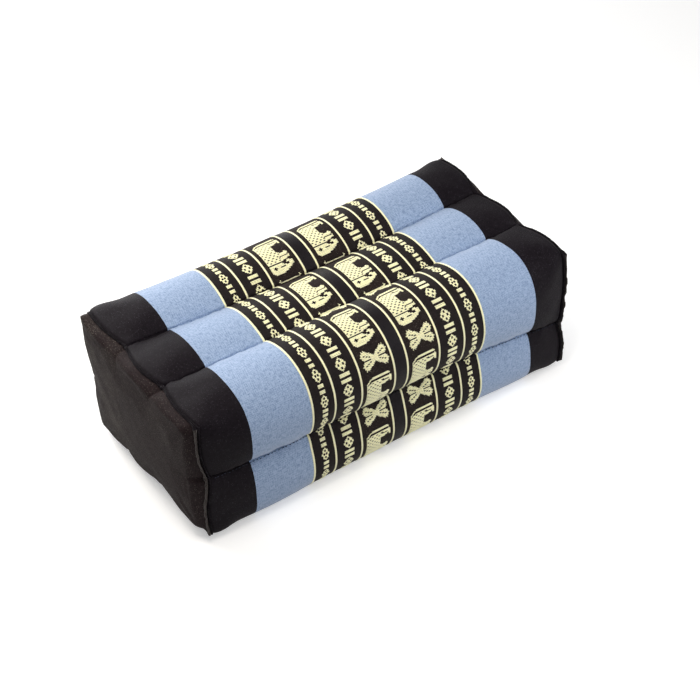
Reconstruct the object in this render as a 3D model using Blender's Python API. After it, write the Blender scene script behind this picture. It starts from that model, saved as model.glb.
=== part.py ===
"""A firm block cushion of banded handwoven cloth, quilted in channels three wide and two high.

Metres, +Z up. X runs along the cushion, -Y is its front, and the origin is at the middle of the
footprint on the surface that the cushion lies on.
"""

import math

import bmesh
import bpy

MM = 0.001

# The block, measured between the corners of the seams that join the cover to the end panels.
LENGTH = 326 * MM
HALF_LENGTH = LENGTH / 2

# The cover's colour bands, from the middle outwards: patterned, blue, black. The cloth sits a
# little to the right of the block's middle.
PATTERN_HALF_WIDTH = 77 * MM
BLUE_WIDTH = 50 * MM
CLOTH_SHIFT = 1.7 * MM

# The cover swells from each end seam to its full size over this length.
END_RISE = 43 * MM
END_RISE_POWER = 2.4

# The end seams: drawn in where a channel seam meets them, pushed out by the stuffing between.
SEAM_PULL = 3 * MM
CHANNEL_PUSH = 2 * MM
END_SHIFT_FADE = 8

# The end panels, boxed out by the stuffing, with the seam lip along their edge. Their dents at the
# channel seams fade towards the middle.
PANEL_CLOTH = 1.5 * MM
PANEL_GAP = 0.5 * MM
PANEL_BULGE = 14 * MM
PANEL_BOXINESS = 4.5
PANEL_MIDDLE_UP = 57 * MM
PANEL_DENT = 0.15
PANEL_SHIFT_FADE = 3
LIP_HEIGHT = 2.2 * MM
LIP_OVERHANG = 1.0 * MM
LIP_TOP_OVERHANG = 0.3 * MM
GROOVE_HEIGHT = 0.4 * MM

# Mesh density: steps across one channel, and along each colour band of one half.
STEPS_PER_CHANNEL = 10
BLACK_STEPS = 7
BLUE_STEPS = 4
PATTERN_STEPS = 7

# Rows of an end from its middle outwards, as shares of the way to the edge.
END_ROWS = (0.25, 0.5, 0.7, 0.85, 0.94)
GROOVE_AT = 0.972

# The channel seams, in millimetres. Columns: across and up at mid length, across at the ends, up at
# the left end, up at the right end.
SEAMS = {
    "side_back": (78, 56, 80, 59, 50),
    "top_back": (26, 106.5, 27, 112, 112),
    "top_front": (-28, 110, -27, 110, 110),
    "side_front": (-78, 56, -80, 61.5, 46.5),
    "bottom_front": (-28, 7, -28, 7, 7),
    "bottom_back": (28, 7, 32, 7, 7),
}

# The stuffed channels, each between two seams, as the oval that its cloth follows, in millimetres.
# Columns: first seam, last seam, way to its crest or corner, centre, half sizes, squareness, half
# sizes at the ends, squareness at the ends, gain towards the ends, sharpness of the draw-in.
CHANNELS = {
    "top_back": ("side_back", "top_back", (1, 1), (51, 80), (38, 38), 2.6, (29, 33), 14, 2.3, 8),
    "top_middle": ("top_back", "top_front", (0, 1), (-1, 57), (59.5, 59.5), 2, (74, 56), 2, 1.4, 5),
    "top_front": ("top_front", "side_front", (-1, 1), (-51, 80), (38, 38), 2.6, (29, 32), 10, 0, 8),
    "bottom_front": ("side_front", "bottom_front", (-1, -1), (-52, 33), (33, 35), 3, (28, 27), 14, 0, 8),
    "bottom_middle": ("bottom_front", "bottom_back", (0, -1), (0, 58), (60, 60), 2, (74, 55), 2, 0, 5),
    "bottom_back": ("bottom_back", "side_back", (1, -1), (52, 33), (33, 35), 3, (28, 28), 14, 0, 8),
}


def clear_scene():
    for thing in list(bpy.data.objects):
        bpy.data.objects.remove(thing)


def between(start, finish, share):
    return start + (finish - start) * share


def fullness(x):
    """0 at an end seam, 1 where the cushion has its full section."""
    from_end = min(max(HALF_LENGTH - abs(x), 0.0), END_RISE)
    return 1.0 - (1.0 - from_end / END_RISE) ** END_RISE_POWER


def seam_point(name, x):
    """Where a seam crosses the section at x. Its line sags to its mid-length place."""
    across, up, end_across, left_up, right_up = SEAMS[name]
    along = x / HALF_LENGTH
    end_up = between(left_up, right_up, (along + 1.0) / 2.0)
    sag = 1.0 - along**2
    return between(end_across, across, sag) * MM, between(end_up, up, sag) * MM


def oval_reach(angle, half_sizes, squareness):
    across = abs(math.cos(angle)) / half_sizes[0]
    up = abs(math.sin(angle)) / half_sizes[1]
    return (across**squareness + up**squareness) ** (-1.0 / squareness)


def end_shift(way, share):
    """How far the end seam lies outside its plane, at this share of the way across a channel."""
    towards_seam = abs(2.0 * share - 1.0)
    push = math.sin(math.pi * towards_seam) if way[0] else math.cos(math.pi / 2.0 * towards_seam)
    return CHANNEL_PUSH * push - SEAM_PULL * towards_seam**2


def channel_points(name, x):
    """The cloth of one channel at x, from its first seam up to its last, which the next one starts with."""
    first, last, way, centre, sizes, square, end_sizes, end_square, gain, draw = CHANNELS[name]
    full = fullness(x)
    fuller = gain * (x / HALF_LENGTH) ** 2
    half_sizes = [between(end, size + fuller, full) * MM for end, size in zip(end_sizes, sizes)]
    squareness = between(square, end_square, (1.0 - full) ** 2)
    middle_across, middle_up = centre[0] * MM, centre[1] * MM

    def seen_from_centre(seam):
        across, up = seam_point(seam, x)
        across -= middle_across
        up -= middle_up
        angle = math.atan2(up, across)
        reach = oval_reach(angle, half_sizes, squareness)
        return angle, math.hypot(across, up) / reach - 1.0

    start, start_draw = seen_from_centre(first)
    stop, stop_draw = seen_from_centre(last)
    crest = math.atan2(way[1] * half_sizes[1], way[0] * half_sizes[0])
    while crest < start:
        crest += 2.0 * math.pi
    while stop < crest:
        stop += 2.0 * math.pi
    points = []
    for step in range(STEPS_PER_CHANNEL):
        share = step / STEPS_PER_CHANNEL
        if share < 0.5:
            angle = between(start, crest, share * 2.0)
        else:
            angle = between(crest, stop, share * 2.0 - 1.0)
        reach = oval_reach(angle, half_sizes, squareness)
        reach *= 1.0 + start_draw * (1.0 - share) ** draw + stop_draw * share**draw
        shift = end_shift(way, share)
        across = middle_across + reach * math.cos(angle)
        up = max(middle_up + reach * math.sin(angle), 0.0)
        points.append((shift, across, up))
    return points


def section(x):
    """The whole outline at x, anticlockwise seen from the right, as (end shift, across, up)."""
    outline = []
    for name in CHANNELS:
        outline.extend(channel_points(name, x))
    return outline


def spaced(start, stop, steps, ease=False):
    """Stations from start up to, not including, stop: even, or closer together towards stop."""
    shares = (step / steps for step in range(steps))
    if ease:
        shares = (math.sin(share * math.pi / 2.0) for share in shares)
    return [between(start, stop, share) for share in shares]


def body_half_length():
    return HALF_LENGTH - PANEL_CLOTH - PANEL_GAP


def stations():
    """Sections along the cover, with one at each colour band's edge and more near the ends."""
    left, right = -PATTERN_HALF_WIDTH + CLOTH_SHIFT, PATTERN_HALF_WIDTH + CLOTH_SHIFT
    places = [-x for x in spaced(-left + BLUE_WIDTH, body_half_length(), BLACK_STEPS, True)]
    places.append(-body_half_length())
    places.reverse()
    places += spaced(left - BLUE_WIDTH, left, BLUE_STEPS)[1:]
    places += spaced(left, right, 2 * PATTERN_STEPS)
    places += spaced(right, right + BLUE_WIDTH, BLUE_STEPS)
    places += spaced(right + BLUE_WIDTH, body_half_length(), BLACK_STEPS, True)
    places.append(body_half_length())
    return places


def cover_row(mesh, x):
    """One section of the cover. Its end shift fades away from the ends."""
    at_end = abs(x) >= body_half_length()
    outline = section(math.copysign(HALF_LENGTH, x) if at_end else x)
    fade = math.copysign(abs(x / body_half_length()) ** END_SHIFT_FADE, x)
    return [mesh.verts.new((x + shift * fade, across, up)) for shift, across, up in outline]


def end_row(mesh, side, share, inset, raised=None, overhang=0.0):
    """A row of an end: the seam's outline shrunk to this share, domed, and set in by inset."""
    row = []
    for place, (shift, across, up) in enumerate(section(side * HALF_LENGTH)):
        towards_seam = abs(2.0 * (place % STEPS_PER_CHANNEL) / STEPS_PER_CHANNEL - 1.0)
        dent = 1.0 - PANEL_DENT * (share * towards_seam**2) ** 2
        out = PANEL_BULGE * (1.0 - share**PANEL_BOXINESS) * dent if raised is None else raised
        reach = math.hypot(across, up - PANEL_MIDDLE_UP)
        scale = share + overhang / reach
        x = side * (HALF_LENGTH + shift * share**PANEL_SHIFT_FADE + out - inset)
        row.append(mesh.verts.new((x, across * scale, PANEL_MIDDLE_UP + (up - PANEL_MIDDLE_UP) * scale)))
    return row


def join_rows(mesh, first, second):
    count = len(first)
    faces = []
    for i in range(count):
        j = (i + 1) % count
        faces.append(mesh.faces.new((first[i], first[j], second[j], second[i])))
    return faces


def close_row(mesh, row, side, inset):
    """A fan from a row to a vertex at the middle of the end."""
    middle = mesh.verts.new((side * (HALF_LENGTH + PANEL_BULGE - inset), 0.0, PANEL_MIDDLE_UP))
    faces = []
    for i in range(len(row)):
        faces.append(mesh.faces.new((row[i], row[(i + 1) % len(row)], middle)))
    return faces


def finish_mesh(mesh, name, materials):
    bmesh.ops.recalc_face_normals(mesh, faces=mesh.faces)
    data = bpy.data.meshes.new(name)
    mesh.to_mesh(data)
    mesh.free()
    for material in materials:
        data.materials.append(material)
    data.shade_smooth()
    data.set_sharp_from_angle(angle=math.radians(50))
    thing = bpy.data.objects.new(name, data)
    bpy.context.scene.collection.objects.link(thing)
    return thing


def cloth(name, colour, roughness):
    material = bpy.data.materials.new(name)
    material.use_nodes = True
    shader = material.node_tree.nodes["Principled BSDF"]
    shader.inputs["Base Color"].default_value = (*colour, 1.0)
    shader.inputs["Roughness"].default_value = roughness
    shader.inputs["Metallic"].default_value = 0.0
    return material


def band_at(x):
    """Which cloth colour lies at x: 0 patterned, 1 blue, 2 black."""
    from_middle = abs(x - CLOTH_SHIFT)
    if from_middle < PATTERN_HALF_WIDTH:
        return 0
    return 1 if from_middle < PATTERN_HALF_WIDTH + BLUE_WIDTH else 2


def make_body():
    """The stuffed cover: its sections joined lengthwise, and a domed end behind each panel."""
    mesh = bmesh.new()
    places = stations()
    rows = [cover_row(mesh, x) for x in places]
    for i in range(len(rows) - 1):
        band = band_at((places[i] + places[i + 1]) / 2.0)
        for face in join_rows(mesh, rows[i], rows[i + 1]):
            face.material_index = band
    inset = PANEL_CLOTH + PANEL_GAP
    for outer, side in ((rows[0], -1), (rows[-1], 1)):
        faces = []
        for share in reversed(END_ROWS):
            inner = end_row(mesh, side, share, inset)
            faces += join_rows(mesh, outer, inner)
            outer = inner
        faces += close_row(mesh, outer, side, inset)
        for face in faces:
            face.material_index = 2
    patterned = cloth("patterned_cloth", (0.12, 0.105, 0.085), 0.85)
    blue = cloth("blue_cloth", (0.33, 0.45, 0.67), 0.9)
    black = cloth("black_cloth", (0.018, 0.015, 0.018), 0.8)
    return finish_mesh(mesh, "cushion_body", (patterned, blue, black))


def make_panel(name, side):
    """One end panel: boxed-out cloth with its seam lip standing up along the edge."""
    mesh = bmesh.new()
    rows = [end_row(mesh, side, share, 0.0) for share in END_ROWS]
    close_row(mesh, rows[0], side, 0.0)
    rows.append(end_row(mesh, side, GROOVE_AT, 0.0, raised=GROOVE_HEIGHT))
    rows.append(end_row(mesh, side, 1.0, 0.0, raised=LIP_HEIGHT, overhang=LIP_TOP_OVERHANG))
    rows.append(end_row(mesh, side, 1.0, 0.0, raised=LIP_HEIGHT / 2.0, overhang=LIP_OVERHANG))
    rows.append(end_row(mesh, side, 1.0, PANEL_CLOTH, raised=0.0))
    for share in reversed(END_ROWS):
        rows.append(end_row(mesh, side, share, PANEL_CLOTH))
    close_row(mesh, rows[-1], side, PANEL_CLOTH)
    for i in range(len(rows) - 1):
        join_rows(mesh, rows[i], rows[i + 1])
    black = cloth(name + "_cloth", (0.022, 0.018, 0.018), 0.85)
    return finish_mesh(mesh, name, (black,))


clear_scene()
make_body()
make_panel("end_panel_left", -1)
make_panel("end_panel_right", 1)
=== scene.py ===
import math
import re

import bpy
import numpy as np
from mathutils import Matrix, Vector, noise


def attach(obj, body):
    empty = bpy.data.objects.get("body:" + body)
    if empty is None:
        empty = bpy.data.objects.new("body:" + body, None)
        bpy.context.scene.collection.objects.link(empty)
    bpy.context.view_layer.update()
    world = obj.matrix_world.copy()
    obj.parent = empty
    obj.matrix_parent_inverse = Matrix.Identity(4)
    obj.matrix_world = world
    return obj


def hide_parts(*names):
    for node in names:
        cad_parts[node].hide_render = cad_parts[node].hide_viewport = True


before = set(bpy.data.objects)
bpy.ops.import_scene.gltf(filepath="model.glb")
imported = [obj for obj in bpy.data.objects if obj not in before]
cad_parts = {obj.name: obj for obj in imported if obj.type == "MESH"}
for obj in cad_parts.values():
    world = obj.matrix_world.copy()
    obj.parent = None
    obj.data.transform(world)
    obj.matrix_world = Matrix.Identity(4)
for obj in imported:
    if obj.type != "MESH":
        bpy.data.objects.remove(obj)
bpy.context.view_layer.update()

# ------------------------------------------------
# The cover: one length of handwoven cotton, in bands of black, blue and a patterned middle, wrapped
# round six channels of packed kapok, three over three. It is sewn through along each channel seam,
# and its ends are drawn in to the seams of the end panels.

MM = 0.001
HALF_LENGTH = 163.0
CLOTH_SHIFT = 1.7
END_RISE = 43.0
END_RISE_POWER = 2.4
SEAM_PULL = 3.0
CHANNEL_PUSH = 2.0
END_SHIFT_FADE = 8
SEAM_CLOSENESS = 0.11

# Where each channel seam runs, in millimetres: across and up at mid length, across at the ends, up
# at the left end, up at the right end.
SEAMS = {
    "side_back": (78, 56, 80, 59, 50),
    "top_back": (26, 106.5, 27, 112, 112),
    "top_front": (-28, 110, -27, 110, 110),
    "side_front": (-78, 56, -80, 61.5, 46.5),
    "bottom_front": (-28, 7, -28, 7, 7),
    "bottom_back": (28, 7, 32, 7, 7),
}

# The oval of each channel, in millimetres: first and last seam, way to its crest or corner, centre,
# half sizes, squareness, half sizes and squareness at the ends, gain towards the ends, sharpness of
# the draw-in, steps of cloth across it.
CHANNELS = {
    "top_back": ("side_back", "top_back", (1, 1), (51, 80), (38, 38), 2.6, (29, 33), 14, 2.3, 8, 80),
    "top_middle": ("top_back", "top_front", (0, 1), (-1, 57), (59.5, 59.5), 2, (74, 56), 2, 1.4, 5, 44),
    "top_front": ("top_front", "side_front", (-1, 1), (-51, 80), (38, 38), 2.6, (29, 32), 10, 0, 8, 80),
    "bottom_front": (
        "side_front", "bottom_front", (-1, -1), (-52, 33), (33, 35), 3, (28, 27), 14, 0, 8, 74),
    "bottom_middle": ("bottom_front", "bottom_back", (0, -1), (0, 58), (60, 60), 2, (74, 55), 2, 0, 5, 44),
    "bottom_back": ("bottom_back", "side_back", (1, -1), (52, 33), (33, 35), 3, (28, 28), 14, 0, 8, 74),
}


def mix(start, finish, share):
    return start + (finish - start) * share


def fullness(x):
    """0 at an end seam, 1 where the cushion has its full section."""
    from_end = np.clip(HALF_LENGTH - np.abs(x), 0.0, END_RISE)
    return 1.0 - (1.0 - from_end / END_RISE) ** END_RISE_POWER


def seam_line(name, x):
    """Across and up of a seam at x."""
    across, up, end_across, left_up, right_up = SEAMS[name]
    along = x / HALF_LENGTH
    sag = 1.0 - along**2
    end_up = mix(left_up, right_up, (along + 1) / 2)
    return mix(end_across, across, sag), mix(end_up, up, sag)


def oval_reach(angle, half_sizes, squareness):
    across = np.abs(np.cos(angle)) / half_sizes[0]
    up = np.abs(np.sin(angle)) / half_sizes[1]
    return (across**squareness + up**squareness) ** (-1.0 / squareness)


def channel_cloth(name, x, share):
    """The cloth of one channel as (stations, shares, 3), at stations x and shares of the way across."""
    first, last, way, centre, sizes, square, end_sizes, end_square, gain, draw, _ = CHANNELS[name]
    x = x[:, None]
    share = share[None, :]
    full = fullness(x)
    grown = gain * (x / HALF_LENGTH) ** 2
    half_sizes = [mix(end, size + grown, full) for end, size in zip(end_sizes, sizes)]
    squareness = mix(square, end_square, (1.0 - full) ** 2)

    def seen_from_centre(seam):
        across, up = seam_line(seam, x)
        across, up = across - centre[0], up - centre[1]
        angle = np.arctan2(up, across)
        return angle, np.hypot(across, up) / oval_reach(angle, half_sizes, squareness) - 1.0

    start, start_draw = seen_from_centre(first)
    stop, stop_draw = seen_from_centre(last)
    crest = np.arctan2(way[1] * half_sizes[1], way[0] * half_sizes[0])
    crest = crest + 2 * np.pi * (crest < start)
    stop = stop + 2 * np.pi * (stop < crest)
    angle = np.where(share < 0.5, mix(start, crest, share * 2), mix(crest, stop, share * 2 - 1))
    reach = oval_reach(angle, half_sizes, squareness)
    reach = reach * (1.0 + start_draw * (1.0 - share) ** draw + stop_draw * share**draw)
    to_seam = np.abs(2 * share - 1)
    push = np.sin(np.pi * to_seam) if way[0] else np.cos(np.pi / 2 * to_seam)
    shift = CHANNEL_PUSH * push - SEAM_PULL * to_seam**2
    fade = np.sign(x) * np.abs(x / HALF_LENGTH) ** END_SHIFT_FADE
    cloth = np.empty((*reach.shape, 3))
    cloth[..., 0] = x + shift * fade
    cloth[..., 1] = centre[0] + reach * np.cos(angle)
    cloth[..., 2] = np.maximum(centre[1] + reach * np.sin(angle), 0.0)
    return cloth


def lengths_along(line):
    """How far along the line each of its points lies."""
    steps = np.linalg.norm(np.diff(line, axis=0), axis=1)
    return np.concatenate([[0.0], np.cumsum(steps)])


def even_shares(name):
    """Shares across a channel that space its cloth evenly, closer near the seams, with the cloth's
    own measure from the channel's first seam."""
    steps = CHANNELS[name][-1]
    fine = np.linspace(0.0, 1.0, 1201)
    measure = lengths_along(channel_cloth(name, np.zeros(1), fine)[0])
    wanted = np.arange(steps) / steps
    wanted = (wanted - SEAM_CLOSENESS * np.sin(2 * np.pi * wanted)) * measure[-1]
    return np.interp(wanted, measure, fine), wanted


# Where each band of the cloth ends, in millimetres from its middle.
BLUE_EDGE = 127.0
PATTERN_EDGE = 77.0
CHAIN_EDGE = 57.9
ELEPHANT_EDGE = 34.9
PLAIN_EDGE = 5.8
# How closely the cloth is measured along the cushion, and near its ends.
STATION_GAP = 1.7
RIM_GAP = 0.75
RIM_BAND = 6.0
# How much fuller the back roll is at the left end and at the right end.
BACK_FILL = (0.4, 2.2)
# Where the kapok is packed fuller or slacker: the place, how much it stands up there, how much it
# pushes out along the cushion, how far that reaches.
PACKING = (
    ((-163, 76, 113), 2.4, -1.5, 24),
    ((163, 56, 113), 1.8, 1.3, 24),
    ((163, -4, 113), -1.0, 0.6, 22),
    ((163, -54, 113), 1.2, 0.6, 24),
    ((163, -84, 25), 0.0, -1.8, 24),
    ((-110, -82, 12), -1.6, 0.0, 40),
    ((140, -82, 12), -1.6, 0.0, 40),
)
# How far the edges of the bands stray in a channel, at the left and at the right.
BAND_DRIFT = {"top_middle": (1.2, 1.6), "top_front": (-0.9, 0.0)}
BAND_DRIFT_REACH = 14.0

band_edges = [PLAIN_EDGE, ELEPHANT_EDGE, CHAIN_EDGE, PATTERN_EDGE, BLUE_EDGE]
rim_start = HALF_LENGTH - RIM_BAND
marks = [-HALF_LENGTH, -rim_start] + [CLOTH_SHIFT - e for e in reversed(band_edges)]
marks += [CLOTH_SHIFT + e for e in band_edges] + [rim_start, HALF_LENGTH]
stations = []
for low, high in zip(marks[:-1], marks[1:]):
    gap = STATION_GAP if abs(low + high) < 2 * rim_start else RIM_GAP
    count = 2 * math.ceil((high - low) / gap / 2)
    stations += [low + (high - low) * k / count for k in range(count)]
stations = np.array(stations + [HALF_LENGTH])

channel_start = {}
channel_measure = {}
columns = []
girth_measure = []
channel_from = 0.0
for name in CHANNELS:
    shares, measure = even_shares(name)
    channel_start[name] = sum(block.shape[1] for block in columns)
    channel_measure[name] = measure
    columns.append(channel_cloth(name, stations, shares))
    girth_measure.append(measure + channel_from)
    channel_from += measure[-1] + measure[1]
cover = np.concatenate(columns, axis=1)
girth_measure = np.concatenate(girth_measure)
girth_steps = cover.shape[1]
seam_columns = [channel_start[name] for name in CHANNELS]

for spot, lift, out, reach in PACKING:
    near = np.exp(-((np.linalg.norm(cover - np.array(spot), axis=2) / reach) ** 2))
    cover[..., 2] = np.maximum(cover[..., 2] + lift * near, 0.0)
    cover[..., 0] += out * near
back_columns = slice(channel_start["top_back"], channel_start["top_middle"])
back_crest = np.sin(np.linspace(0, np.pi, CHANNELS["top_back"][-1])) ** 2
left_to_right = (stations / HALF_LENGTH + 1) / 2
cover[:, back_columns, 2] += mix(*BACK_FILL, left_to_right[:, None]) * back_crest[None, :]
for name, (left, right) in BAND_DRIFT.items():
    near_edge = np.exp(-(((np.abs(stations) - BLUE_EDGE) / BAND_DRIFT_REACH) ** 2))
    drift = mix(left, right, left_to_right) * near_edge
    across = np.sin(np.linspace(0, np.pi, CHANNELS[name][-1]))
    start = channel_start[name]
    cover[:, start : start + len(across), 0] += drift[:, None] * across[None, :]


def outward(cloth):
    """Unit normals of a closed sleeve of cloth."""
    along = np.gradient(cloth, axis=0)
    round_girth = np.roll(cloth, -1, axis=1) - np.roll(cloth, 1, axis=1)
    normal = np.cross(along, round_girth)
    normal /= np.linalg.norm(normal, axis=2, keepdims=True)
    middle = cloth.mean(axis=(0, 1))
    facing = np.sign(((cloth - middle) * normal).sum(axis=2).mean())
    return normal * facing


def noise_at(points, size, seed=0.0):
    """Smooth noise from -1 to 1 over points in millimetres, with lumps of about this size."""
    flat = points.reshape(-1, 3) / size
    values = [noise.noise(Vector((p[0] + seed, p[1] - seed, p[2] + 2 * seed))) for p in flat]
    return np.array(values).reshape(points.shape[:-1])


# How far each column of cloth lies from its nearest seam.
span = np.zeros(girth_steps)
for name, start in channel_start.items():
    measure = channel_measure[name]
    whole = measure[-1] + measure[1]
    span[start : start + len(measure)] = np.minimum(measure, whole - measure)


def new_piece(name, points, faces, materials, slots=None, smooth=True):
    """An object of these points, in millimetres. slots says which material each face takes."""
    data = bpy.data.meshes.new(name)
    data.from_pydata((np.asarray(points) * MM).tolist(), [], np.asarray(faces).tolist())
    for material in materials:
        data.materials.append(material)
    if slots is not None:
        data.polygons.foreach_set("material_index", np.asarray(slots, dtype=np.int32))
    if smooth:
        data.shade_smooth()
    data.update()
    thing = bpy.data.objects.new(name, data)
    bpy.context.scene.collection.objects.link(thing)
    return thing


def cloth_faces(rows, columns, ring=False, tube=False, inside_out=False):
    """Four-sided faces of a sheet of points. The last row of a ring and the last column of a tube
    join on to the first."""
    i, j = np.meshgrid(np.arange(rows - (not ring)), np.arange(columns - (not tube)), indexing="ij")
    after, beside = (i + 1) % rows * columns, (j + 1) % columns
    corners = [i * columns + j, i * columns + beside, after + beside, after + j]
    return np.stack(corners[:: -1 if inside_out else 1], axis=-1).reshape(-1, 4)


def repeated_faces(faces, times, points_each):
    """One item's faces, repeated over the points of so many like it."""
    return (faces + points_each * np.arange(times)[:, None, None]).reshape(-1, 4)


AIR_STEPS = 20


def blown_out(name, cloth, faces, held, most):
    """How far each point of the cloth moves, in millimetres and at the most so far, when air presses
    it out from within while the held points stay where they are sewn."""
    piece = new_piece(name, cloth.reshape(-1, 3), faces, [])
    sewn = piece.vertex_groups.new(name="sewn")
    sewn.add(np.flatnonzero(held.ravel()).tolist(), 1.0, "REPLACE")
    modifier = piece.modifiers.new("Cloth", "CLOTH")
    modifier.settings.quality = 6
    modifier.settings.mass = 0.2
    modifier.settings.tension_stiffness = 25
    modifier.settings.compression_stiffness = 25
    modifier.settings.bending_stiffness = 0.3
    modifier.settings.vertex_group_mass = "sewn"
    modifier.settings.use_pressure = True
    modifier.settings.uniform_pressure_force = 4
    modifier.settings.effector_weights.gravity = 0
    modifier.collision_settings.use_collision = False
    modifier.point_cache.frame_start = 1
    modifier.point_cache.frame_end = AIR_STEPS
    for step in range(AIR_STEPS):
        bpy.context.scene.frame_set(step + 1)
    settled = piece.evaluated_get(bpy.context.evaluated_depsgraph_get()).to_mesh()
    points = np.empty(len(settled.vertices) * 3)
    settled.vertices.foreach_get("co", points)
    move = points.reshape(cloth.shape) / MM - cloth
    bpy.data.objects.remove(piece)
    bpy.context.scene.frame_set(1)
    far = np.linalg.norm(move, axis=2, keepdims=True)
    return move * np.minimum(1.0, most / np.maximum(far, 1e-6))


def eased_between(move):
    """A field of moves on every other row and column, eased onto all of them."""
    rows, columns_round = move.shape[:2]
    full = np.empty((2 * rows - 1, 2 * columns_round, 3))
    after = np.roll(move, -1, axis=1)
    full[::2, ::2] = move
    further = np.roll(move, 1, axis=1) + np.roll(move, -2, axis=1)
    full[::2, 1::2] = (9 * (move + after) - further) / 16
    full[1::2] = (full[:-2:2] + full[2::2]) / 2
    return full


# The kapok is lumpier towards the ends, from here outwards. Each size of lump, in millimetres: how
# far across, seed, how high in the middle of the cushion, how high at its ends.
LUMPY_FROM = 110.0
LUMPS = ((34.0, 3.1, 0.45, 1.3), (15.0, 8.7, 0.12, 0.5))
# The gathers beside each channel seam: how high, and how far they and the seam itself reach.
GATHER_HEIGHT = 1.5
GATHER_REACH = 5.0
SEAM_REACH = 0.8
# How high off the floor the cloth is free to move, and how far it eases off a seam and an end.
FLOOR_CLEARANCE = 6.0
EASE_OFF_SEAM = 6.0
SLACK = 0.3
MOST_PUFF = 2.5
# The sewn crease: its depth, how much each stitch pulls it, the stitch length, its half width.
CREASE_DEPTH = 1.1
STITCH_PULL = 0.5
CREASE_STITCH = 3.1
CREASE_HALF_WIDTH = 0.9
# The groove where the cover turns in at the end seams.
RIM_GROOVE = 1.5
RIM_GROOVE_WIDTH = 1.7

normal = outward(cover)
clear_of_floor = np.clip(cover[..., 2] / FLOOR_CLEARANCE, 0.0, 1.0)
from_end = HALF_LENGTH - np.abs(stations)[:, None]
towards_end = (np.abs(stations) - LUMPY_FROM) / (HALF_LENGTH - LUMPY_FROM)
towards_end = np.clip(towards_end, 0.0, 1.0)[:, None]
lumps = sum(
    noise_at(cover, size, seed) * mix(in_middle, at_end, towards_end)
    for size, seed, in_middle, at_end in LUMPS)
flat_place = np.zeros_like(cover)
flat_place[..., 0] = stations[:, None] + 0.5 * span[None, :]
flat_place[..., 1] = girth_measure[None, :] * 0.25
gathers = noise_at(flat_place, 6.5, 5.3) + 0.5 * noise_at(flat_place, 3.2, 1.9)
off_seam = (1.0 - np.exp(-span / EASE_OFF_SEAM))[None, :]
at_rest = off_seam * np.clip(from_end / EASE_OFF_SEAM, 0.0, 1.0) * clear_of_floor
at_seam = np.exp(-span / GATHER_REACH) * (1.0 - np.exp(-span / SEAM_REACH))
raised = lumps + gathers * at_seam[None, :] * GATHER_HEIGHT
cover = cover + normal * (raised * clear_of_floor)[..., None]
sewn_down = np.zeros(cover[::2, ::2].shape[:2], dtype=bool)
sewn_down[[0, -1]] = True
sewn_down[:, np.array(seam_columns) // 2] = True
sewn_down |= cover[::2, ::2, 2] < 1.0
slack = cover - SLACK * normal * at_rest[..., None]
air_faces = cloth_faces(*sewn_down.shape, tube=True)
air = blown_out("cover_air", slack[::2, ::2], air_faces, sewn_down, MOST_PUFF)
cover = slack + eased_between(air)
cover[..., 2] = np.maximum(cover[..., 2], 0.0)
stitch_turn = 2 * np.pi * stations / CREASE_STITCH + 2.0 * np.sin(stations / 11.0)
crease_depth = CREASE_DEPTH + STITCH_PULL * np.cos(stitch_turn)[:, None]
crease = crease_depth * np.exp(-((span / CREASE_HALF_WIDTH) ** 2))[None, :]
cover = cover - normal * (crease * clear_of_floor)[..., None]
rim = cover[[0, -1]].copy()
rim_facing = normal[[0, -1]].copy()
groove = RIM_GROOVE * np.exp(-((from_end / RIM_GROOVE_WIDTH) ** 2)) * clear_of_floor
cover = cover - normal * groove[..., None]
normal = outward(cover)


def set_place(thing, values):
    """Stores where each point lies in the flat cloth, in millimetres, for its weave."""
    attribute = thing.data.attributes.new("cloth_place", "FLOAT_VECTOR", "POINT")
    attribute.data.foreach_set("vector", np.asarray(values, dtype=np.float32).ravel())


def add_node(tree, kind, inputs, **settings):
    """A node with these inputs, each a socket to link or a value."""
    node = tree.nodes.new(kind)
    for key, value in settings.items():
        setattr(node, key, value)
    for key, value in inputs.items():
        if isinstance(value, bpy.types.NodeSocket):
            tree.links.new(value, node.inputs[key])
        else:
            node.inputs[key].default_value = value
    return node


def sum_of(tree, operation, *values, kind="ShaderNodeMath"):
    """The result of one sum."""
    return add_node(tree, kind, dict(enumerate(values)), operation=operation).outputs[0]


def vector_sum(tree, operation, *values):
    return sum_of(tree, operation, *values, kind="ShaderNodeVectorMath")


def share_between(tree, value, low, high):
    """0 where the value is low, 1 where it is high."""
    node = add_node(tree, "ShaderNodeMapRange", {"Value": value, "From Min": low, "From Max": high})
    return node.outputs[0]


def unevenness_of(tree, place, scale, detail, **more):
    """Cloudy noise over the cloth."""
    more.update({"Vector": place, "Scale": scale, "Detail": detail})
    return add_node(tree, "ShaderNodeTexNoise", more)


def colour_between(tree, share, dark, light):
    """A colour between two, each a socket or red, green and blue."""
    dark, light = [c if isinstance(c, bpy.types.NodeSocket) else (*c, 1) for c in (dark, light)]
    node = add_node(tree, "ShaderNodeMix", {"Factor": share, 6: dark, 7: light}, data_type="RGBA")
    return node.outputs[2]


def new_group(name, takes, gives):
    """An empty node group that takes the place in the cloth and these numbers, with the sockets of
    its inputs and its outputs."""
    tree = bpy.data.node_groups.new(name, "ShaderNodeTree")
    tree.interface.new_socket(name="Place", in_out="INPUT", socket_type="NodeSocketVector")
    for way, sockets in (("INPUT", takes), ("OUTPUT", gives)):
        for socket in sockets:
            tree.interface.new_socket(name=socket, in_out=way, socket_type="NodeSocketFloat")
    return tree, tree.nodes.new("NodeGroupInput").outputs, tree.nodes.new("NodeGroupOutput").inputs


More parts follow.
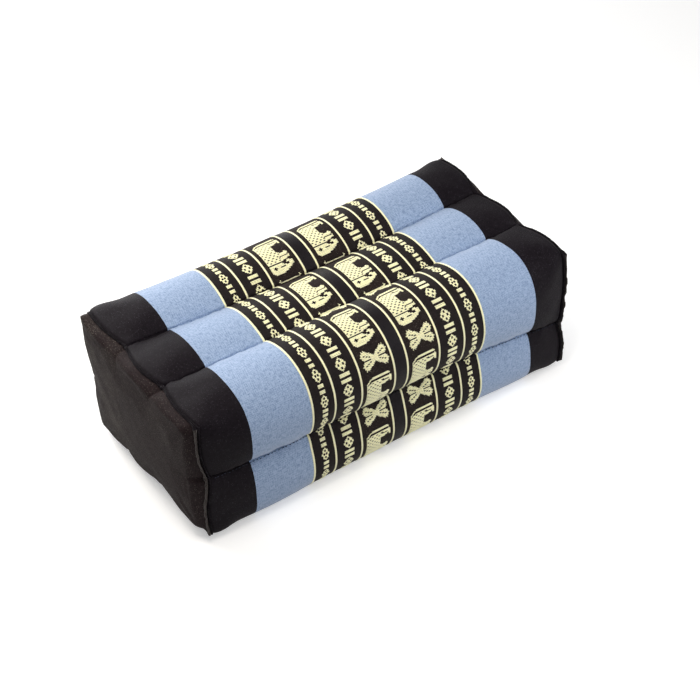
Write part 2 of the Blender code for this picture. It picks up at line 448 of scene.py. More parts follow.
def plain_weave():
    """Warp and weft passing over and under each other, uneven as hand-thrown cloth is."""
    tree, start, finish = new_group(
        "Plain Weave", ("Thread Spacing", "Unevenness"), ("Height", "Warp On Top", "Slub"))
    wander = unevenness_of(tree, start["Place"], 0.35, 2.0)
    centred = vector_sum(tree, "SUBTRACT", wander.outputs["Color"], (0.5, 0.5, 0.5))
    moved = vector_sum(tree, "MULTIPLY_ADD", centred, start["Unevenness"], start["Place"])
    threads = vector_sum(tree, "DIVIDE", moved, start["Thread Spacing"])
    threads = add_node(tree, "ShaderNodeSeparateXYZ", {0: threads}).outputs
    ridges = []
    for way in ("X", "Y"):
        wave = sum_of(tree, "SINE", sum_of(tree, "MULTIPLY", threads[way], math.pi))
        ridges.append(sum_of(tree, "ABSOLUTE", wave))
    flat = add_node(tree, "ShaderNodeCombineXYZ", {"X": threads["X"], "Y": threads["Y"], "Z": 0.5})
    over = add_node(tree, "ShaderNodeTexChecker", {"Vector": flat.outputs[0], "Scale": 1.0})
    over = over.outputs["Fac"]
    height = add_node(tree, "ShaderNodeMix", {"Factor": over, "A": ridges[0], "B": ridges[1]})
    tree.links.new(height.outputs[0], finish["Height"])
    tree.links.new(over, finish["Warp On Top"])
    slubs = []
    for stretch in ((0.25, 1.8, 1.0), (1.8, 0.25, 1.0)):
        stretched = vector_sum(tree, "MULTIPLY", start["Place"], stretch)
        slubs.append(unevenness_of(tree, stretched, 1.0, 2.0, Roughness=0.6).outputs[0])
    slub = sum_of(tree, "MULTIPLY", sum_of(tree, "ADD", *slubs), 0.5)
    tree.links.new(slub, finish["Slub"])
    return tree


def lint_specks():
    """Specks of lint caught in the cloth, more of them in worn patches and where it is rubbed."""
    tree, start, finish = new_group(
        "Lint Specks", ("Rubbed", "Fewest", "Most", "Patchiness"), ("Lint",))
    specks = add_node(tree, "ShaderNodeTexVoronoi", {"Vector": start["Place"], "Scale": 1.0})
    dot = share_between(tree, specks.outputs["Distance"], 0.42, 0.22)
    any_of = add_node(tree, "ShaderNodeSeparateColor", {0: specks.outputs["Color"]}).outputs[0]
    patches = unevenness_of(tree, start["Place"], 0.045, 2.0).outputs[0]
    patch = sum_of(tree, "MULTIPLY", sum_of(tree, "SUBTRACT", patches, 0.5), start["Patchiness"])
    worn = sum_of(tree, "ADD", any_of, sum_of(tree, "ADD", start["Rubbed"], patch))
    chosen = share_between(tree, worn, start["Fewest"], start["Most"])
    shown = sum_of(tree, "MULTIPLY", dot, chosen)
    lint = sum_of(tree, "MULTIPLY_ADD", start["Rubbed"], 0.22, shown)
    tree.links.new(lint, finish["Lint"])
    return tree


weave_group = plain_weave()
lint_group = lint_specks()


def new_material(name, settings):
    """A material with these settings of its shader: itself, its node tree, the shader's sockets."""
    material = bpy.data.materials.new(name)
    material.use_nodes = True
    shader = material.node_tree.nodes["Principled BSDF"].inputs
    for socket, value in settings.items():
        shader[socket].default_value = value
    return material, material.node_tree, shader


def woven_cloth(name, dark, light, weave, roughness, sheen, gloss=0.3, lint=None):
    """A cotton cloth whose colour runs from dark to light with its slubs and threads. weave is the
    thread spacing and its unevenness, lint its colour, fewest, most and patchiness."""
    material, tree, shader = new_material(name, {
        "Roughness": roughness, "Specular IOR Level": gloss,
        "Sheen Weight": sheen, "Sheen Roughness": 0.45,
    })
    place = add_node(tree, "ShaderNodeAttribute", {}, attribute_name="cloth_place").outputs["Vector"]
    spacing, unevenness = weave
    threads = add_node(
        tree, "ShaderNodeGroup",
        {"Place": place, "Thread Spacing": spacing, "Unevenness": unevenness},
        node_tree=weave_group).outputs
    tone = share_between(tree, threads["Slub"], 0.40, 0.60)
    tone = sum_of(tree, "MULTIPLY_ADD", threads["Warp On Top"], 0.35, tone)
    colour = colour_between(tree, tone, dark, light)
    if lint:
        lint_colour, fewest, most, patchiness = lint
        rubbed = add_node(tree, "ShaderNodeAttribute", {}, attribute_name="rubbed").outputs["Fac"]
        specks = add_node(
            tree, "ShaderNodeGroup",
            {"Place": place, "Rubbed": rubbed, "Fewest": fewest, "Most": most, "Patchiness": patchiness},
            node_tree=lint_group).outputs
        colour = colour_between(tree, specks["Lint"], colour, lint_colour)
    tree.links.new(colour, shader["Base Color"])
    relief = {"Strength": 0.25, "Distance": 0.0003, "Height": threads["Height"]}
    tree.links.new(add_node(tree, "ShaderNodeBump", relief).outputs[0], shader["Normal"])
    return material


black_cotton = woven_cloth(
    "black_cotton", (0.0034, 0.0023, 0.0038), (0.0095, 0.0068, 0.0105), (0.6, 0.3), 0.62, 0.03, 0.075,
    lint=((0.052, 0.048, 0.058), 0.6, 1.3, 0.4))
blue_cotton = woven_cloth(
    "blue_cotton", (0.125, 0.205, 0.37), (0.345, 0.45, 0.64), (0.85, 0.3), 0.7, 0.35)
chain_ground = woven_cloth(
    "chain_ground", (0.005, 0.0035, 0.0035), (0.017, 0.012, 0.013), (0.55, 0.3), 0.7, 0.03, 0.12)
elephant_ground = woven_cloth(
    "elephant_ground", (0.006, 0.004, 0.004), (0.022, 0.015, 0.014), (0.7, 0.4), 0.8, 0.03, 0.12,
    lint=((0.075, 0.06, 0.05), 0.40, 1.0, 0.0))
plain_strip = woven_cloth(
    "plain_strip", (0.0045, 0.003, 0.0045), (0.010, 0.007, 0.010), (0.5, 0.2), 0.5, 0.03, 0.15)

cloth_u = stations - CLOTH_SHIFT
middle_u = np.abs((cloth_u[:-1] + cloth_u[1:]) / 2)
band = 4 - np.searchsorted([PLAIN_EDGE, ELEPHANT_EDGE, PATTERN_EDGE, BLUE_EDGE], middle_u)
cover_piece = new_piece(
    "cover_cloth", cover.reshape(-1, 3), cloth_faces(len(stations), girth_steps, tube=True),
    [black_cotton, blue_cotton, chain_ground, elephant_ground, plain_strip],
    np.repeat(band, girth_steps))
place = np.zeros_like(cover)
place[..., 0] = cloth_u[:, None]
place[..., 1] = girth_measure[None, :]
set_place(cover_piece, place)
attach(cover_piece, "root")
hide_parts("cushion_body")

# ------------------------------------------------
# The cream warp cords: thick undyed cotton laid side by side in the warp, which edge every band of
# the patterned middle.

CORD_HALF_WIDTH = 0.85
CORD_RISE = 0.32
CORD_WANDER = 0.12
# Across a pair of threads: way over, in half widths, and how far it rises.
CORD_PROFILE = np.array([
    (-1.0, -0.25), (-0.75, 0.75), (-0.2, 0.95), (0.1, 0.85), (0.6, 1.0), (1.0, -0.25)])
CORD_EDGES = (PLAIN_EDGE, ELEPHANT_EDGE, CHAIN_EDGE + 0.2, PATTERN_EDGE + 0.2)


def whole_measure(channel):
    """The cloth's own measures across a channel, from its first seam to its last."""
    measure = channel_measure[channel]
    return np.append(measure, measure[-1] + measure[1])


def on_cover(u, channel, v):
    """Points and normals of the cover at places u along the cloth, and v round it from a channel's
    first seam, all in millimetres."""
    x = np.asarray(u, dtype=float) + CLOTH_SHIFT
    i = np.clip(np.interp(x, stations, np.arange(len(stations))), 0, len(stations) - 1.001)
    measure = whole_measure(channel)
    j = np.interp(v, measure, np.arange(len(measure))) + channel_start[channel]
    i0, j0 = np.floor(i).astype(int), np.floor(j).astype(int)
    fi, fj = (i - i0)[..., None], (j - j0)[..., None]
    j1 = (j0 + 1) % girth_steps
    j0 = j0 % girth_steps

    def blended(field):
        before = mix(field[i0, j0], field[i0 + 1, j0], fi)
        after = mix(field[i0, j1], field[i0 + 1, j1], fi)
        return mix(before, after, fj)

    facing = blended(normal)
    return blended(cover), facing / np.linalg.norm(facing, axis=-1, keepdims=True)


cream_cotton, tree, shader = new_material(
    "cream_cotton", {"Roughness": 0.8, "Specular IOR Level": 0.25, "Sheen Weight": 0.4})
place = add_node(tree, "ShaderNodeAttribute", {}, attribute_name="cloth_place").outputs["Vector"]
tone = share_between(tree, unevenness_of(tree, place, 0.9, 3.0).outputs[0], 0.3, 0.6)
cream = colour_between(tree, tone, (0.92, 0.88, 0.50), (0.98, 0.96, 0.66))
tree.links.new(cream, shader["Base Color"])
fibre = unevenness_of(tree, place, 4.0, 2.0).outputs[0]
relief = {"Strength": 0.3, "Distance": 0.0002, "Height": fibre}
tree.links.new(add_node(tree, "ShaderNodeBump", relief).outputs[0], shader["Normal"])


cord_points, cord_places = [], []
profile_across = CORD_PROFILE[:, 0] * CORD_HALF_WIDTH
profile_rise = CORD_PROFILE[:, 1] * CORD_RISE
cord_faces = cloth_faces(girth_steps, len(CORD_PROFILE), ring=True, inside_out=True)
for edge in CORD_EDGES:
    for side in (-1, 1):
        cord = np.empty((girth_steps, len(CORD_PROFILE), 3))
        for channel, start in channel_start.items():
            v = channel_measure[channel]
            wander = [noise.noise(Vector((edge * side, k * 0.11, 3.0))) for k in v]
            u = side * edge + CORD_WANDER * np.array(wander)
            for k, (across, rise) in enumerate(zip(profile_across, profile_rise)):
                points, facing = on_cover(u + across, channel, v)
                cord[start : start + len(v), k] = points + facing * rise
        flat = np.zeros_like(cord)
        flat[..., 0] = side * edge + profile_across
        flat[..., 1] = girth_measure[:, None]
        cord_points.append(cord.reshape(-1, 3))
        cord_places.append(flat.reshape(-1, 3))
cord_faces = repeated_faces(cord_faces, len(cord_points), girth_steps * len(CORD_PROFILE))
cord_piece = new_piece("cream_edge_cords", np.concatenate(cord_points), cord_faces, [cream_cotton])
set_place(cord_piece, np.concatenate(cord_places))
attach(cord_piece, "root")

# ------------------------------------------------
# The brocade: thick cream weft floated over the dark ground, pick by pick, in the weaver's own
# charts. Elephants and flowers fill the two wide bands, and chains of bars and rosettes the others.

# A pick is one weft thread and a step one pair of warps, in millimetres of cloth.
PICK = 0.957
WARP_STEP = 1.0
FLOAT_RISE = 0.34
FLOAT_HALF_WIDTH = 0.49
# How far each end of a float is sunk, and how much of it slopes down to there.
FLOAT_TRIM = 0.12
FLOAT_END = 0.3
# How near a seam the last float lies, and the picks from one elephant or rosette to the next.
SEAM_MARGIN = 0.8
ELEPHANT_REPEAT = 66
CHAIN_REPEAT = 22
FLOWER_PICK = 43

# One line a pick, one letter a warp step: # floats over, o floats with tie-downs, . stays under.
ELEPHANT = """
.....###############..
...##################.
..##..................
.##.................#.
##..oooooooooo########
#.oooooooooooo.#######
#ooooooooooooo.....###
#ooooooooooooo########
#oooooooooooo######.##
#oooooooooooo####...##
#oooooooooooo.........
#oooooooooooo.........
#oooooooooooo.........
#oooooooooooo.........
#oooooooooooo.........
#oooooooooooo.........
#oooooooooooo.........
#ooooooooooooo........
#oooooooooooo.........
#ooooooooooooo........
#oooooooooooooo...##..
#oooooooooooooo######.
#oooooooooooooo######.
#ooooooooooooo######..
#oooooooooooo.......#.
#ooooooooooo.########.
#ooooooooooo#########.
#ooooooooooo######....
#ooooooooo####........
................###...
############...######.
#############....####.
####.##########..####.
###...###....########.
####.##############...
##################....
################......
.#############........
..#########...........
"""

# A quarter of the flower, from its middle outwards; the weaver mirrors it both ways.
FLOWER_QUARTER = """
####........
##########..
####.######.
.#####.####.
..######.###
...########.
.....######.
......####..
.......#.#..
"""
# All that shows of the flower that a top seam takes in.
SUNK_FLOWER = """
..#................#.
.##................##
..##################.
"""

# One turn of each chain: a rosette and a pair of bars.
WIDE_CHAIN = """
....#....
...###...
..##.##..
.###.###.
.#######.
##.###.##
##.###.##
.#######.
.###.###.
..##.##..
...###...
....#....
.........
#########
#########
#########
.........
.........
#########
#########
#########
.........
"""
NARROW_CHAIN = """
...#...
..###..
.##.##.
.##.##.
.#####.
##.#.##
##.#.##
.#####.
.##.##.
.##.##.
..###..
...#...
.......
.#####.
.#####.
.#####.
.......
.......
.#####.
.#####.
.#####.
.......
"""

# Where the first pick of an elephant and of a chain lies in each channel, in millimetres from its
# first seam. Each seam takes up a few millimetres of the pattern.
ELEPHANT_START = {
    "top_back": 74.1, "top_middle": 13.0, "top_front": 14.3,
    "bottom_front": 23.0, "bottom_middle": 40.9, "bottom_back": 41.5,
}
CHAIN_START = {
    "top_back": 6.3, "top_middle": 8.3, "top_front": 9.6,
    "bottom_front": 16.2, "bottom_middle": 7.2, "bottom_back": 4.8,
}
# The middles of the two elephant bands, and of each chain with its weaver's slip, in picks.
ELEPHANT_MIDDLES = (-19.9, 20.8)
CHAINS = (
    (WIDE_CHAIN, -46.3, 0.0), (WIDE_CHAIN, 46.9, 0.2),
    (NARROW_CHAIN, -67.0, 0.0), (NARROW_CHAIN, 67.8, 0.3),
)


def mirrored_flower():
    half = [line[:0:-1] + line for line in FLOWER_QUARTER.split()]
    return half[:0:-1] + half


def tied_down(line, pick):
    """Single warps tie the elephant's body down, stepping across it like a twill."""
    step = pick % 4
    tied = step if step % 2 else None
    return "".join(
        "." if cell == "o" and column % 4 == tied else cell.replace("o", "#")
        for column, cell in enumerate(line))


# Across a float: way over, in half widths, and how far it rises.
FLOAT_ACROSS = np.array([-1.0, -0.5, 0.5, 1.0])
FLOAT_ROUND = np.array([-0.35, 1.0, 1.0, -0.35])


def lay_floats(name, floats, half_width, rise, material, seed):
    """Lays yarn floats on the cover. Each is (channel, round, from, to), in millimetres of cloth."""
    chance = np.random.default_rng(seed)
    alike = {}
    for channel, v, low, high in floats:
        stops = 4 + int((high - low) // 4)
        alike.setdefault((channel, stops), []).append((v, low, high))
    points, faces, places = [], [], []
    laid = 0
    for (channel, stops), items in sorted(alike.items()):
        v, low, high = np.array(items).T
        low = low + chance.normal(0, 0.05, len(low))
        high = high + chance.normal(0, 0.05, len(high))
        v = v + chance.normal(0, 0.03, len(v))
        height = rise * (1 + chance.normal(0, 0.1, len(v)))
        inner = np.linspace(0, 1, stops - 2)[None, :]
        inner = mix(low[:, None] + FLOAT_END, high[:, None] - FLOAT_END, inner)
        u = np.concatenate([low[:, None], inner, high[:, None]], axis=1)
        u = np.repeat(u[:, :, None], 4, axis=2)
        along = np.ones(stops)
        along[[0, -1]] = 0.0
        width = half_width * mix(0.7, 1.0, along)[None, :, None]
        w = np.broadcast_to(v[:, None, None] + FLOAT_ACROSS * width, u.shape)
        lift = mix(-0.35, FLOAT_ROUND, along[None, :, None]) * height[:, None, None]
        where, facing = on_cover(u, channel, w)
        points.append((where + facing * lift[..., None]).reshape(-1, 3))
        flat = np.zeros((*u.shape, 3))
        flat[..., 0], flat[..., 1] = u, w + channel_start[channel]
        places.append(flat.reshape(-1, 3))
        faces.append(repeated_faces(cloth_faces(stops, 4), len(v), stops * 4) + laid)
        laid += len(v) * stops * 4
    thing = new_piece(name, np.concatenate(points), np.concatenate(faces), [material])
    set_place(thing, np.concatenate(places))
    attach(thing, "root")
    return thing


def chart_floats(lines, repeat, starts, middle, first_pick=0.0, channels=tuple(CHANNELS)):
    """The floats of a motif, repeated round these channels."""
    floats = []
    left = middle - len(lines[0]) * WARP_STEP / 2
    for channel in channels:
        last_seam = whole_measure(channel)[-1]
        for turn in range(-3, 6):
            for row, line in enumerate(lines):
                v = starts[channel] + (turn * repeat + first_pick + row + 0.5) * PICK
                if SEAM_MARGIN < v < last_seam - SEAM_MARGIN:
                    for run in re.finditer("#+", line):
                        low = left + run.start() * WARP_STEP + FLOAT_TRIM
                        high = left + run.end() * WARP_STEP - FLOAT_TRIM
                        floats.append((channel, v, low, high))
    return floats


elephant_lines = [tied_down(line, pick) for pick, line in enumerate(ELEPHANT.split())]
flower_lines = mirrored_flower()
whole_flowers = ("top_front", "bottom_front", "bottom_middle", "bottom_back")
sunk_flowers = ("top_back", "top_middle")
band_floats, chain_floats = [], []
for middle in ELEPHANT_MIDDLES:
    band_floats += chart_floats(elephant_lines, ELEPHANT_REPEAT, ELEPHANT_START, middle)
    band_floats += chart_floats(
        flower_lines, ELEPHANT_REPEAT, ELEPHANT_START, middle + 0.7, FLOWER_PICK, whole_flowers)
    band_floats += chart_floats(
        SUNK_FLOWER.split(), ELEPHANT_REPEAT, ELEPHANT_START, middle, FLOWER_PICK, sunk_flowers)
for chart, middle, slip in CHAINS:
    chain_floats += chart_floats(chart.split(), CHAIN_REPEAT, CHAIN_START, middle, slip)
BROCADE = (("elephant_and_flower_brocade", band_floats, 11), ("chain_brocade", chain_floats, 12))
for name, floats, seed in BROCADE:
    brocade = lay_floats(name, floats, FLOAT_HALF_WIDTH, FLOAT_RISE, cream_cotton, seed)

# ------------------------------------------------
# The hand stitches that close the side seams: dark cotton thread, drawn through the cover just
# below the fold of the upper channel, front and back.

STITCH_GAP = 3.1
STITCH_LENGTH = 1.7
STITCH_HALF_WIDTH = 0.28
STITCH_RISE = 0.3
STITCH_BELOW_SEAM = 1.3
STITCH_STRAY = 0.25
FIRST_STITCH = 4.0
stitch_thread = woven_cloth(
    "stitch_thread", (0.012, 0.014, 0.025), (0.03, 0.035, 0.06), (0.3, 0.2), 0.8, 0.0)
stitches = []
chance = np.random.default_rng(21)
for u in np.arange(FIRST_STITCH - HALF_LENGTH, HALF_LENGTH - FIRST_STITCH, STITCH_GAP):
    for channel in ("bottom_front", "top_back"):
        across, along = chance.normal(0, STITCH_STRAY, 2)
        v = STITCH_BELOW_SEAM + 0.4 * across
        stitches.append((channel, v, u + along, u + along + STITCH_LENGTH))
stitch_piece = lay_floats(
    "side_seam_stitches", stitches, STITCH_HALF_WIDTH, STITCH_RISE, stitch_thread, 13)

# ------------------------------------------------
# The end panels: a plain black cotton panel on each end, boxed out by the kapok behind it, dented
# where the channel seams meet its edge and lightly worn.

# How far the panel stands out, and how much more in its middle.
PANEL_BULGE = 8.3
PANEL_CROWN = 2.5
PANEL_MIDDLE_UP = 57.0
PANEL_HALF = (83.0, 56.0)
PANEL_STEPS = (120, 80)
PANEL_PUFF = 1.0
# How softly the panel rises from each edge, in millimetres, from the edge's first end to its last:
# low to high up the sides, front to back along the top and the bottom.
PANEL_ROUNDING = {
    -1: {"back": (10, 3.2), "front": (12, 12), "top": (6, 2.6), "bottom": (12, 6)},
    1: {"back": (10, 10), "front": (12, 12), "top": (12, 12), "bottom": (18, 18)},
}
# How steeply the panel turns in to its seam.
EDGE_HOLD = {-1: 11, 1: 6}
# The dent under the panel: how deep it reaches, where along the panel, how wide.
BOTTOM_DENT = (14.0, -0.25, 0.3)
# The crease that each channel seam pulls into the panel: depth, half width, how far it runs.
PUCKER = (0.9, 0.9, 6.0)
# Each size of lump, in millimetres: how far across, seed, how high.
PANEL_LUMPS = ((30.0, 4.4, 0.35), (12.0, 2.2, 0.2))
# How far the panel is pushed up at its top back corner, and how far along each way that reaches.
CORNER_PUSH = {-1: 5.5, 1: 0.0}
CORNER_REACH = (0.14, 0.16)
# Where its cloth is rubbed pale: along y, up z, reach, how much.
RUBBED = ((59, 97, 26, 0.9), (42, 42, 24, 0.6), (-40, 88, 16, 0.3))
worn_black = woven_cloth(
    "worn_black_cotton", (0.0075, 0.0042, 0.0050), (0.022, 0.0135, 0.0150), (0.6, 0.4), 0.75, 0.03, 0.11,
    lint=((0.10, 0.088, 0.078), 0.5, 1.2, 0.7))
corner_columns = [
    channel_start[name] + int(np.argmin(np.abs(even_shares(name)[0] - 0.5)))
    for name in ("top_back", "top_front", "bottom_front", "bottom_back")]


def points_on(line, at):
    """The line's points at these places, counted in its own points."""
    return np.stack([np.interp(at, np.arange(len(line)), line[:, m]) for m in range(3)], axis=-1)


def outline_side(outline, first, last, steps):
    """The end seam from one corner to the next, in equal steps."""
    if last < first:
        last += len(outline)
    part = outline[np.arange(first, last + 1) % len(outline)]
    run = lengths_along(part)
    wanted = np.linspace(0, run[-1], steps + 1)
    return points_on(part, np.interp(wanted, run, np.arange(len(part))))


def seam_round_panel(outline, to_a, to_b, beside):
    """The point of the end seam straight out from each point of the panel."""
    wide, high = PANEL_STEPS
    c = corner_columns
    top = outline_side(outline, c[0], c[1], wide)[::-1]
    front = outline_side(outline, c[1], c[2], high)[::-1]
    bottom = outline_side(outline, c[2], c[3], wide)
    back = outline_side(outline, c[3], c[0], high)
    up_side, along_side = (to_b + 1) / 2 * high, (to_a + 1) / 2 * wide
    return np.where(
        beside[..., None],
        np.where((to_a > 0)[..., None], points_on(back, up_side), points_on(front, up_side)),
        np.where((to_b > 0)[..., None], points_on(top, along_side), points_on(bottom, along_side)))


def fullness_of_panel(a, b, side):
    """0 at the panel's edges, 1 where it stands out in full."""
    full = np.ones(a.shape)
    ways = {"back": (1 - a, b), "front": (1 + a, b), "top": (1 - b, a), "bottom": (1 + b, a)}
    for way, (share, along) in ways.items():
        half = PANEL_HALF[0] if way in ("back", "front") else PANEL_HALF[1]
        rounding = mix(*PANEL_ROUNDING[side][way], (along + 1) / 2)
        if way == "bottom":
            dent, middle, wide = BOTTOM_DENT
            rounding = rounding + dent * np.exp(-(((a - middle) / wide) ** 2))
        full *= 1 - (1 - np.clip(share * half / rounding, 0, 1)) ** 2.2
    return full


def puckers(cloth, outline):
    """How far the channel seams pull the panel in."""
    depth, half_width, length = PUCKER
    pulled = np.zeros(cloth.shape[:-1])
    for name in CHANNELS:
        seam = outline[channel_start[name]]
        inward = np.array([-seam[1], PANEL_MIDDLE_UP - seam[2]])
        inward /= np.linalg.norm(inward)
        across, up = cloth[..., 1] - seam[1], cloth[..., 2] - seam[2]
        along = np.abs(across * inward[0] + up * inward[1])
        off = np.abs(across * inward[1] - up * inward[0])
        crease_width = half_width * (1 + along / length)
        pulled += depth * np.exp(-((off / crease_width) ** 2)) * np.exp(-along / length)
    return pulled


def end_panel_cloth(outline, side):
    """The panel as a sheet of points, stretched inside its seam and filled out."""
    ways = [np.linspace(-1, 1, steps + 1) for steps in PANEL_STEPS]
    a, b = np.meshgrid(*ways, indexing="ij")
    s = np.maximum(np.maximum(np.abs(a), np.abs(b)), 1e-6)
    to_a, to_b = a / s, b / s
    edge = seam_round_panel(outline, to_a, to_b, np.abs(a) >= np.abs(b))
    cloth = np.empty((*a.shape, 3))
    cloth[..., 0] = side * HALF_LENGTH
    ease = s**4
    cloth[..., 1] = PANEL_HALF[0] * a + (edge[..., 1] - PANEL_HALF[0] * to_a) * ease
    cloth[..., 2] = PANEL_MIDDLE_UP + PANEL_HALF[1] * b
    cloth[..., 2] += (edge[..., 2] - PANEL_MIDDLE_UP - PANEL_HALF[1] * to_b) * ease
    full = fullness_of_panel(a, b, side)
    bulge = PANEL_BULGE + PANEL_CROWN * (1 - a**2) * (1 - b**2) - puckers(cloth, outline)
    for size, seed, height in PANEL_LUMPS:
        bulge = bulge + height * noise_at(cloth + side * 40, size, seed)
    corner = np.exp(-(((a - 1) / CORNER_REACH[0]) ** 2) - ((b - 1) / CORNER_REACH[1]) ** 2)
    cloth[..., 2] += CORNER_PUSH[side] * corner * full
    cloth[..., 0] += side * bulge * full
    cloth[..., 0] += (edge[..., 0] - side * HALF_LENGTH) * s ** EDGE_HOLD[side]
    return cloth


def rubbed_pale(cloth):
    """How far each point of the panel is rubbed, in patches that noise breaks up."""
    rubbed = sum(
        much * np.exp(-((cloth[..., 1] - y) ** 2 + (cloth[..., 2] - z) ** 2) / reach**2)
        for y, z, reach, much in RUBBED)
    return rubbed * np.clip(0.75 + 1.6 * noise_at(cloth, 13.0, 7.7), 0.0, 1.6)


# Each end: its side, its node, the first words of its pieces' names, its row of the cover.
ENDS = ((-1, "end_panel_left", "left_end", 0), (1, "end_panel_right", "right_end", -1))
for side, node, piece_name, edge_row in ENDS:
    cloth = end_panel_cloth(cover[edge_row], side)
    held = np.ones(cloth.shape[:2], dtype=bool)
    held[1:-1, 1:-1] = False
    panel_faces = cloth_faces(*held.shape, inside_out=side > 0)
    cloth = cloth + blown_out(piece_name + "_air", cloth, panel_faces, held, PANEL_PUFF)
    cloth[..., 2] = np.maximum(cloth[..., 2], 0.0)
    panel = new_piece(piece_name + "_panel_cloth", cloth.reshape(-1, 3), panel_faces, [worn_black])
    set_place(panel, cloth[..., [1, 2, 0]])
    rubbed = panel.data.attributes.new("rubbed", "FLOAT", "POINT")
    rubbed.data.foreach_set("value", rubbed_pale(cloth).astype(np.float32).ravel())
    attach(panel, "root")
    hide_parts(node)

# ------------------------------------------------
# The lips of the end seams: the raw edges of the panel and of the cover, each turned in and sewn
# through. They stand proud up the corners, lie close along the top, and are knotted at the corners.

# A knot's reach and how far it stands, and how deep the folds are rooted.
KNOT_REACH = 1.9
KNOT_RISE = 1.3
LIP_ROOT = 1.9
MOST_LIP = 2.6
# How much the lip of each end wavers, how far it stands up the corners, and its share at the back.
LIP_WAVER = {-1: 1.0, 1: 0.55}
LIP_STAND = {-1: 1.4, 1: 2.0}
BACK_SHARE = {-1: 0.0, 1: 1.0}
# Each fold of the lip: seed of its waver, way out from the seam, half thickness.
LIP_FOLDS = ((5.0, 1.15, 0.5), (9.0, -0.95, 0.45))
# How far from the floor the lip stands free.
LIP_CLEARANCE = 8.0
LIP_SIDES = 8
# A lighter black cloth for the panel's fold up the corners: a painted highlight on its standing ridge.
painted_highlight_black = woven_cloth(
    "painted_highlight_black_cotton", (0.015, 0.012, 0.012), (0.06, 0.05, 0.048), (0.5, 0.4), 0.8, 0.1, 0.2)


def closed_tube(line, tall, thick):
    """A fold of cloth round a closed line, so tall out of the seam and so thick along x."""
    ahead = np.roll(line, -1, axis=0) - np.roll(line, 1, axis=0)
    ahead /= np.linalg.norm(ahead, axis=1, keepdims=True)
    first = np.cross(ahead, np.array([1.0, 0.0, 0.0]))
    first /= np.linalg.norm(first, axis=1, keepdims=True)
    second = np.cross(ahead, first)
    turn = np.linspace(0, 2 * np.pi, LIP_SIDES, endpoint=False)[None, :, None]
    ring = np.cos(turn) * (first * tall[:, None])[:, None]
    ring = ring + np.sin(turn) * (second * thick[:, None])[:, None]
    return line[:, None, :] + ring


def waver(run, size, seed, level):
    """Noise along a line, from -1 to 1, with waves of about this size."""
    return np.array([noise.noise(Vector((r / size, seed, level))) for r in run])


def knots(outline):
    """1 where the lip is knotted, at the front corners and at the channel seams."""
    knot = np.zeros(len(outline))
    knotted = [k for k in corner_columns if outline[k, 1] < 0]
    for k in knotted + seam_columns:
        away = np.linalg.norm(outline - outline[k], axis=1)
        knot = np.maximum(knot, np.exp(-((away / KNOT_REACH) ** 2)))
    return knot


def seam_lip(outline, facing, side):
    """The two folded edges of the end seam."""
    run = lengths_along(outline)
    upright = np.clip(np.abs(facing[:, 1]) * 1.3 - 0.2, 0, 1)
    upright = upright * np.where(outline[:, 1] > 0, BACK_SHARE[side], 1.0)
    clear = np.clip(outline[:, 2] / LIP_CLEARANCE, 0, 1)
    knot = knots(outline)
    folds = []
    for seed, out, thick in LIP_FOLDS:
        wobble = waver(run, 7.0, side * seed, 0.0)
        ripple = waver(run, 2.4, side * seed, 4.0) * LIP_WAVER[side]
        line = outline.copy()
        astray = (0.7 * wobble + 0.45 * ripple) * mix(0.4, 1.0, upright)
        line[:, 0] += side * (out * mix(0.5, 1.1, upright) + astray)
        above = mix(0.1, LIP_STAND[side], upright) + KNOT_RISE * knot
        above = above + (0.7 * wobble + 0.8 * ripple) * mix(0.45, 1.0, upright)
        above = np.clip(above, -0.6, MOST_LIP) * clear
        line += facing * (above - LIP_ROOT)[:, None] / 2
        wide = thick * mix(0.8, 1.15, upright) * mix(0.6, 1.0, clear)
        wide = np.clip(wide * (1 + 0.8 * ripple + 1.8 * knot), 0.2, 1.6)
        fold = closed_tube(line, (above + LIP_ROOT) / 2, wide)
        fold[..., 2] = np.maximum(fold[..., 2], 0.0)
        folds.append(fold.reshape(-1, 3))
    return np.concatenate(folds)


for side, node, piece_name, edge_row in ENDS:
    points = seam_lip(rim[edge_row], rim_facing[edge_row], side)
    faces = cloth_faces(girth_steps, LIP_SIDES, ring=True, tube=True, inside_out=True)
    faces = repeated_faces(faces, len(LIP_FOLDS), girth_steps * LIP_SIDES)
    # The panel's fold takes a lighter black, a painted highlight, where it stands up the corners; the rest
    # is plain black.
    slots = np.ones(len(faces), dtype=int)
    painted_highlight_faces = np.repeat(np.abs(rim_facing[edge_row][:, 1]) > 0.6, LIP_SIDES)
    slots[: len(painted_highlight_faces)][painted_highlight_faces] = 0
    lip = new_piece(piece_name + "_seam_lip", points, faces, [painted_highlight_black, black_cotton], slots)
    set_place(lip, points[:, [1, 2, 0]])
    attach(lip, "root")

# ------------------------------------------------
# The studio: a pale floor that shines a little to the camera, five round softboxes over a dim white
# room, and a long lens looking down on the left front corner.

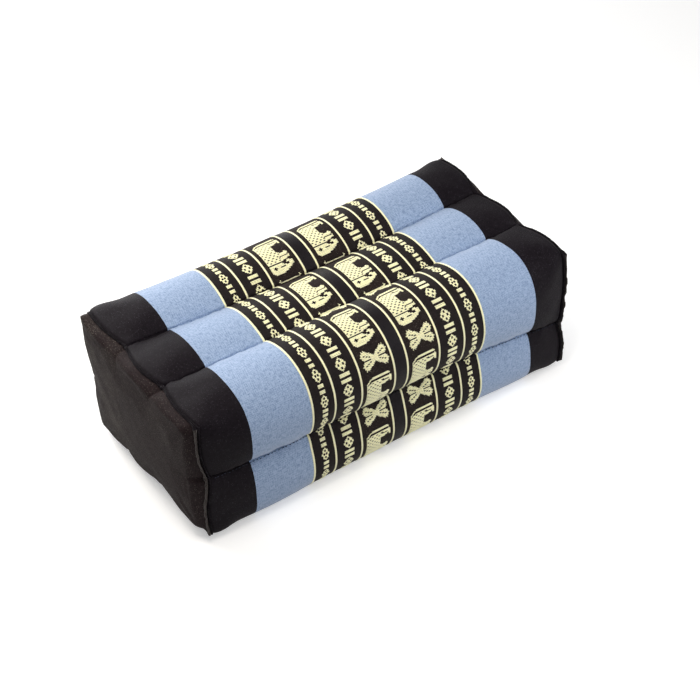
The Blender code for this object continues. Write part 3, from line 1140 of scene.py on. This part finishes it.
FLOOR_HALF = 4000
FLOOR_DROP = -0.3
pale_floor, tree, shader = new_material("pale_floor", {
    "Base Color": (0.86, 0.86, 0.86, 1), "Roughness": 0.9, "Emission Color": (1, 1, 1, 1)})
seen = add_node(tree, "ShaderNodeLightPath", {}).outputs["Is Camera Ray"]
tree.links.new(sum_of(tree, "MULTIPLY", seen, 0.4), shader["Emission Strength"])
floor_corners = [
    (x * FLOOR_HALF, y * FLOOR_HALF, FLOOR_DROP) for x, y in ((-1, -1), (1, -1), (1, 1), (-1, 1))]
floor = new_piece("floor", floor_corners, [(0, 1, 2, 3)], [pale_floor], smooth=False)

world = bpy.data.worlds.new("studio")
world.use_nodes = True
world.node_tree.nodes["Background"].inputs["Color"].default_value = (1, 1, 1, 1)
world.node_tree.nodes["Background"].inputs["Strength"].default_value = 0.22
bpy.context.scene.world = world


MIDDLE = Vector((0, 0, 0.05))


def soft_light(name, place, size, power, colour=(1.0, 1.0, 1.0)):
    """A round softbox aimed at the cushion."""
    data = bpy.data.lights.new(name, "AREA")
    data.shape = "DISK"
    data.size = size
    data.energy = power
    data.color = colour
    lamp = bpy.data.objects.new(name, data)
    lamp.location = place
    lamp.rotation_euler = (MIDDLE - Vector(place)).to_track_quat("-Z", "Y").to_euler()
    bpy.context.scene.collection.objects.link(lamp)


WARM = (1.0, 0.95, 0.88)
soft_light("window_behind", (0, 1.63, 0.52), 1.0, 25)
soft_light("softbox_over_the_left_back", (-0.25, 0.25, 0.45), 0.3, 1.2, WARM)
soft_light("softbox_over_the_left_front", (-0.15, -0.15, 0.60), 0.3, 1.6, WARM)
soft_light("softbox_at_the_right_end", (0.5, -0.3, 0.25), 0.3, 0.7)
soft_light("softbox_at_the_right_front", (0.25, -0.35, 0.35), 0.3, 0.55)

camera_data = bpy.data.cameras.new("camera")
camera_data.lens = 85.41
camera_data.sensor_width = 36
CAMERA_ROLL = -3.17
camera = bpy.data.objects.new("camera", camera_data)
camera.location = (-0.5255, -0.8494, 0.8688)
turn = Vector((0.4141, 0.6507, -0.6365)).to_track_quat("-Z", "Y").to_matrix()
camera.rotation_euler = (turn @ Matrix.Rotation(math.radians(CAMERA_ROLL), 3, "Z")).to_euler()
bpy.context.scene.collection.objects.link(camera)
bpy.context.scene.camera = camera
bpy.context.scene.view_settings.view_transform = "Standard"

bpy.context.view_layer.update()
